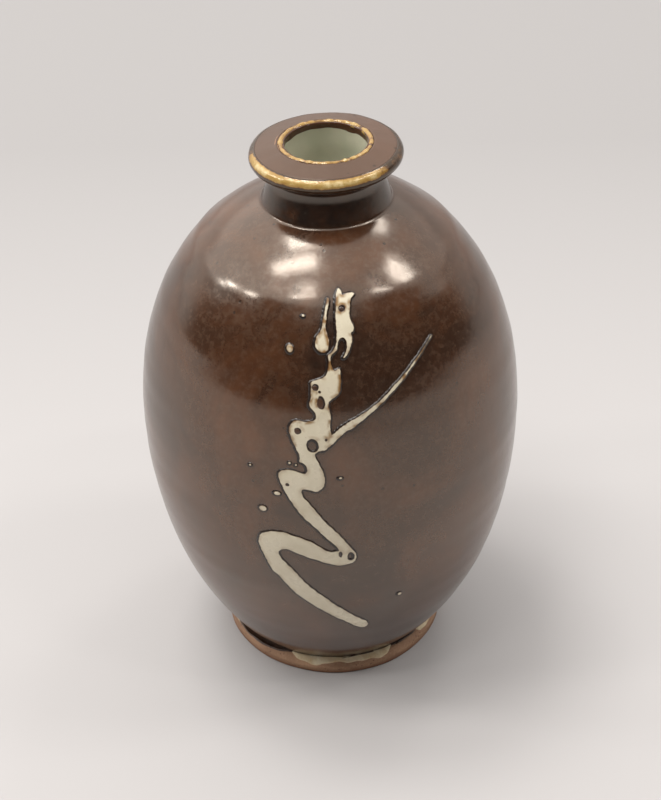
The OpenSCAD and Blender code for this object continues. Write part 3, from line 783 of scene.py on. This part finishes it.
def makeBead():
    # A raised roll of glaze round the mouth, uneven in height and thickness
    az = np.linspace(-math.pi, math.pi, 420, endpoint=False)
    turn = np.linspace(0, tau, 22, endpoint=False)
    angle, across = np.meshgrid(az, turn)
    lumps = wave((0.04, 7 * az + 1), (0.035, 12 * az + 2.5), (0.03, 19 * az), (0.025, 31 * az + 1))
    lumps += 0.2 * np.exp(-((az + 0.36) / 0.07) ** 2) + 0.16 * np.exp(-((az - 0.62) / 0.1) ** 2)
    lumps += 0.12 * np.exp(-((az - 0.42) / 0.03) ** 2) + 0.1 * np.exp(-((az - 2.4) / 0.12) ** 2)
    radius = bead["r"] * (0.70 + lumps)
    centreR = throatR + bead["r"] * 0.80 + mm * wave((0.06, 2 * az), (0.04, 5 * az + 1))
    r = centreR[None, :] + radius[None, :] * np.cos(across)
    z = bead["z"] - 0.22 * mm + radius[None, :] * 1.1 * np.sin(across)
    zero = np.zeros(r.shape + (2,))
    points = turned(np.stack([r, z], -1), zero, angle, np.zeros(r.shape))
    piece = makeMesh("mouthBead", points, tubeFaces(*r.shape))
    # Amber on its top and down its inner side
    level = 0.30 + 0.38 * np.cos(across)
    crest = smoothStep(level - 0.45, level + 0.45, np.sin(across))
    setMark(piece, "thin", np.clip(crest * (0.56 + 1.9 * lumps[None, :]), 0, 1))
    piece.data.materials.append(amber)
    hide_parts("mouth_bead")


makeLip()
makeBead()
print("lip and bead made")


# Inside
def makeLiner():
    lo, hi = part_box("liner_glaze")
    depth = pot["bellyR"] - hi.x + 0.4 * mm     # from the outside to the liner's own surface
    floorZ = lo.z + 0.4 * mm
    wall = ovalLine(floorZ, throatR, 70, depth)
    floor = np.stack([np.linspace(0.2 * mm, wall[0][0] - 0.5 * mm, 16), np.full(16, floorZ)], 1)
    throatZ = np.linspace(wall[-1][1] + 0.4 * mm, bead["z"] + 0.3 * mm, 30)
    throat = np.stack([np.full(30, throatR), throatZ], 1)
    line = np.concatenate([floor, wall, throat])
    normals = -outlineNormals(line)
    az = np.linspace(-math.pi, math.pi, 180, endpoint=False)
    angle = np.repeat(az[None, :], len(line), axis=0)
    rows = np.repeat(line[:, None, :], len(az), axis=1)
    normal = np.repeat(normals[:, None, :], len(az), axis=1)
    lift = mm * 0.05 * np.sin(tau * rows[..., 1] / 0.008 + angle)
    inner = turned(rows, normal, angle, lift)
    outer = turned(rows, normal, angle, lift - 0.35 * mm)
    piece = closedSkin("linerSkin", outer, inner)
    reach = 1.5 * mm + mm * wave((0.18, 3 * az + 1), (0.10, 8 * az), (0.06, 15 * az + 2))
    rolled = smoothStep(-0.6 * mm, 0.6 * mm, rows[..., 1] - (bead["z"] - reach[None, :]))
    count = rows.shape[0] * rows.shape[1]
    both = np.zeros(2 * count)
    both[:count] = rolled.ravel()
    both[count:] = rolled.ravel()
    setMark(piece, "rolledIn", both)
    piece.data.materials.append(celadon)
    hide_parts("liner_glaze")


makeLiner()
print("liner made")

# Foot
foot = {
    "r": footBox[1].x,
    "h": footBox[1].z,
    "w": 6.5 * mm,
    "round": 0.7 * mm,
    "ripple": 0.09,
}
ledgeIn = wallLine[0] - pot["coat"] * wallNormals[0]


def makeFoot():
    outer = foot["r"] - foot["round"]
    inner = foot["r"] - foot["w"]
    bottom = arcLine((outer, foot["round"]), foot["round"], -math.pi / 2, 0, 7)
    shoulder = arcLine((outer, foot["h"] - foot["round"]), foot["round"], 0, math.radians(58), 6)
    ledge = np.linspace(shoulder[-1], ledgeIn, 9)[1:]
    inside = arcLine((inner + 0.8 * mm, 0.8 * mm), 0.8 * mm, -math.pi / 2, -math.pi, 6)
    recess = np.linspace([inner, 1.2 * mm], [inner - 0.6 * mm, foot["h"] - 0.3 * mm], 4)
    under = np.stack([np.linspace(inner - 1.4 * mm, 0.1 * mm, 40), np.full(40, foot["h"] - 0.06 * mm)], 1)
    line = np.concatenate([under[::-1], recess[::-1], inside[::-1], bottom, shoulder, ledge])
    normals = outlineNormals(line)
    az = np.linspace(-math.pi, math.pi, 300, endpoint=False)
    angle = np.repeat(az[None, :], len(line), axis=0)
    rows = np.repeat(line[:, None, :], len(az), axis=1)
    normal = np.repeat(normals[:, None, :], len(az), axis=1)
    flat = np.where(line[:, 1] < 0.05 * mm, 0.0, 1.0)[:, None]
    lift = mm * foot["ripple"] * flat * wave((1, 2 * angle + 1), (0.6, 5 * angle), (0.5, 11 * angle + 2))
    lift = lift + 0.05 * mm * flat * np.sin(tau * rows[..., 0] / (1.7 * mm) + angle)
    outerSkin = turned(rows, normal, angle, lift)
    piece = closedSkin("footClay", outerSkin, turned(rows, normal, angle, lift - 0.5 * mm))
    piece.data.materials.append(clay)
    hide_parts("foot_ring")


def makeRoll():
    # The thick rolled edge that the brown coat ends in
    az = np.linspace(-math.pi, math.pi, 480, endpoint=False)
    turn = np.linspace(0, tau, 14, endpoint=False)
    angle, across = np.meshgrid(az, turn)
    edge, out = onLowPath(-glazeEdge(az))
    r, z = (edge - 0.12 * mm * out).T
    thickness = mm * (0.24 + 0.6 * wave((0.1, 5 * az), (0.12, 9 * az + 1), (0.08, 21 * az)))
    lineR = r[None, :] + thickness[None, :] * np.cos(across)
    lineZ = z[None, :] + thickness[None, :] * 0.9 * np.sin(across)
    zero = np.zeros(lineR.shape + (2,))
    points = turned(np.stack([lineR, lineZ], -1), zero, angle, np.zeros(lineR.shape))
    piece = makeMesh("glazeRoll", points, tubeFaces(*lineR.shape))
    piece.data.materials.append(thick)
    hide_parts("glaze_roll")


def makeSkirt():
    # Cream patches with scalloped edges, between the roll and the bare foot
    az = np.linspace(-math.pi, math.pi, 720, endpoint=False)
    start = np.array([foot["r"] - 0.35 * mm, foot["h"] - 0.25 * mm])
    end = wallLine[0] + 0.1 * mm * wallNormals[0]
    share = np.linspace(0, 1, 18)
    line = start[None, :] + (end - start)[None, :] * share[:, None]
    out = np.array([(end - start)[1], -(end - start)[0]])
    out /= np.linalg.norm(out)
    angle = np.repeat(az[None, :], len(line), axis=0)
    rows = np.repeat(line[:, None, :], len(az), axis=1)
    normal = np.tile(out, rows.shape[:2] + (1,))
    patches = np.zeros(az.shape)
    for middle, span in ((0.07, 0.50), (1.25, 0.34), (-1.40, 0.30), (2.4, 0.35), (-2.6, 0.3)):
        off = np.abs((az - middle + math.pi) % tau - math.pi)
        patches = np.maximum(patches, 1 - smoothStep(0.85 * span, 1.1 * span, off))
    scallop = 0.22 + wave((0.13, 11 * az + 0.5), (0.10, 19 * az + 2), (0.05, 41 * az))
    lower = np.where(patches > 0, 1.1 - patches * (1.1 - scallop), 1.1)
    cover = smoothStep(-0.12, 0.16, share[:, None] - lower[None, :])
    lift = 0.36 * mm * cover - 0.3 * mm * (1 - cover)
    outer = turned(rows, normal, angle, lift)
    piece = closedSkin("footSkirt", outer, turned(rows, normal, angle, np.full(lift.shape, -0.5 * mm)))
    piece.data.materials.append(paleCream)
    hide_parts("foot_skirt")


makeFoot()
makeRoll()
makeSkirt()
print("foot made")


# Poured decoration
def makeDecoration():
    trail = layOn("pouredTrail", creamDistance, decor["height"], decor["edge"], decor["rim"],
        (-21, 27, -46.5, 59.5), decor["grid"])
    trail.data.materials.append(cream)
    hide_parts("upper_stroke", "middle_stroke", "diagonal_stroke", "lower_stroke", "side_streaks")
    drops = layOn("splashDrops", lambda x, s: roundDistance(x, s, decor["drops"]),
        0.28 * mm, 0.5 * mm, 0.3 * mm, (-23, 21, -34, 60), 0.15 * mm)
    drops.data.materials.append(cream)
    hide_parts("splash_drops")
    beads = layOn("trailBeads", lambda x, s: roundDistance(x, s, decor["beads"]),
        0.36 * mm, 0.5 * mm, 0.02 * mm, (-13, 8, -14, 58), 0.14 * mm)
    beads.data.materials.append(thick)
    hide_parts("trail_beads")


makeDecoration()
print("decoration made")

# The clay and the first coat stay as the frame has them
for node in ("body_wall", "neck_collar", "lip_disc"):
    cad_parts[node].data.materials.clear()
    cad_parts[node].data.materials.append(clay)
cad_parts["cream_glaze"].data.materials.clear()
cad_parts["cream_glaze"].data.materials.append(paleCream)

# Table, light and camera
stage = {
    "floorSize": 6.0,
    "floorColour": (0.462, 0.449, 0.450),
    "room": (0.050, 0.038, 0.032),
    "farFloor": (0.60, 0.57, 0.55),
    "walls": ((0.95, 0.93, 0.90), (0.62, 0.60, 0.58)),      # behind the pot, left and right
    "ceiling": ((1.75, 1.70, 1.64), (0.98, 0.95, 0.92)),    # left and right
    "panelZ": 2.0,
    "panels": [
        # x, y, length along x, length along y, strength in watts
        (-0.45, 0.42, 0.60, 0.42, 12),
        (-0.72, -0.16, 0.90, 0.30, 12),
        (1.62, 0.03, 0.74, 0.44, 12),
        (0.88, 1.10, 0.52, 0.55, 7.5),
        (-0.62, -0.80, 0.50, 0.10, 4),
        (1.20, -0.66, 0.50, 0.10, 4),
        (-2.25, -0.60, 0.40, 0.32, 11),
        (-2.85, 0.15, 0.55, 0.40, 17),
        (-3.80, 0.55, 0.50, 0.35, 13),
    ],
}
view = {
    "distance": 8.633 * pot["bellyR"],
    "elevation": math.radians(36.59),
    "aimZ": 1.456 * pot["bellyR"],
    "roll": math.radians(-1.08),
    "lens": 72,
    "sensor": 36,
}


def makeFloor():
    size = stage["floorSize"]
    corners = np.array([[-size, -size, 0], [size, -size, 0], [size, size, 0], [-size, size, 0]])
    mesh = bpy.data.meshes.new("table")
    mesh.from_pydata(corners.tolist(), [], [(0, 1, 2, 3)])
    floor = bpy.data.objects.new("table", mesh)
    bpy.context.collection.objects.link(floor)
    material, tree, shader = startMaterial("paleTable")
    where = place(tree)
    apart = add(tree, "ShaderNodeSeparateXYZ", Vector=where)
    shade = mix(tree, noise(tree, where, 400, 2, 0.5), stage["floorColour"],
        tuple(c * 0.97 for c in stage["floorColour"]))
    # Painted shade: the table's colour darkens towards the back, where less light reaches it.
    paintedFarShade = tuple(c * 0.74 for c in stage["floorColour"])
    shade = mix(tree, ramp(tree, apart.outputs["Y"], (-0.10, 0.0), (0.30, 1.0)), shade, paintedFarShade)
    link(tree, shade, shader, "Base Color")
    shader.inputs["Roughness"].default_value = 0.55
    shader.inputs["IOR"].default_value = 1.3
    mesh.materials.append(material)


def makeRoom():
    # A pale ceiling and back walls, and a dim side towards the viewer
    world = bpy.data.worlds.new("room")
    bpy.context.scene.world = world
    world.use_nodes = True
    tree = world.node_tree
    apart = add(tree, "ShaderNodeSeparateXYZ", Vector=add(tree, "ShaderNodeTexCoord").outputs["Generated"])
    x, y, z = (apart.outputs[k] for k in ("X", "Y", "Z"))
    squares = [sums(tree, "MULTIPLY", part, part) for part in (x, y)]
    flat = sums(tree, "POWER", sums(tree, "ADD", *squares), 0.5)
    ahead = sums(tree, "MULTIPLY", sums(tree, "DIVIDE", y, flat), -1.0)
    walls = mix(tree, spread(tree, x, -0.3, 0.3), *stage["walls"])
    ceiling = mix(tree, spread(tree, x, -0.45, 0.35), *stage["ceiling"])
    shade = mix(tree, spread(tree, ahead, -0.45, -0.10, 1.0, 0.0), stage["room"], walls)
    line = spread(tree, ahead, -0.25, 0.50, 0.31, 0.72)
    shade = mix(tree, spread(tree, sums(tree, "SUBTRACT", z, line), -0.03, 0.05), shade, ceiling)
    shade = mix(tree, spread(tree, z, -0.10, -0.035, 1.0, 0.0), shade, stage["farFloor"])
    tree.links.new(shade, tree.nodes["Background"].inputs["Color"])
    for index, (x, y, wide, deep, power) in enumerate(stage["panels"]):
        lamp = bpy.data.lights.new("panel%d" % index, "AREA")
        lamp.shape = "RECTANGLE"
        lamp.size, lamp.size_y, lamp.energy = wide, deep, power
        lamp.color = (1.0, 0.97, 0.93)
        panel = bpy.data.objects.new(lamp.name, lamp)
        panel.location = (x, y, stage["panelZ"])
        bpy.context.collection.objects.link(panel)


def makeCamera():
    data = bpy.data.cameras.new("camera")
    data.lens, data.sensor_width, data.clip_start = view["lens"], view["sensor"], 0.01
    camera = bpy.data.objects.new("camera", data)
    bpy.context.collection.objects.link(camera)
    aim = Vector((0, 0, view["aimZ"]))
    back = Vector((0, -math.cos(view["elevation"]), math.sin(view["elevation"])))
    turn = back.to_track_quat("Z", "Y").to_matrix().to_4x4() @ Matrix.Rotation(view["roll"], 4, "Z")
    camera.matrix_world = Matrix.Translation(aim + back * view["distance"]) @ turn
    bpy.context.scene.camera = camera


makeFloor()
makeRoom()
makeCamera()
bpy.context.scene.view_settings.view_transform = "Standard"
print("stage made")
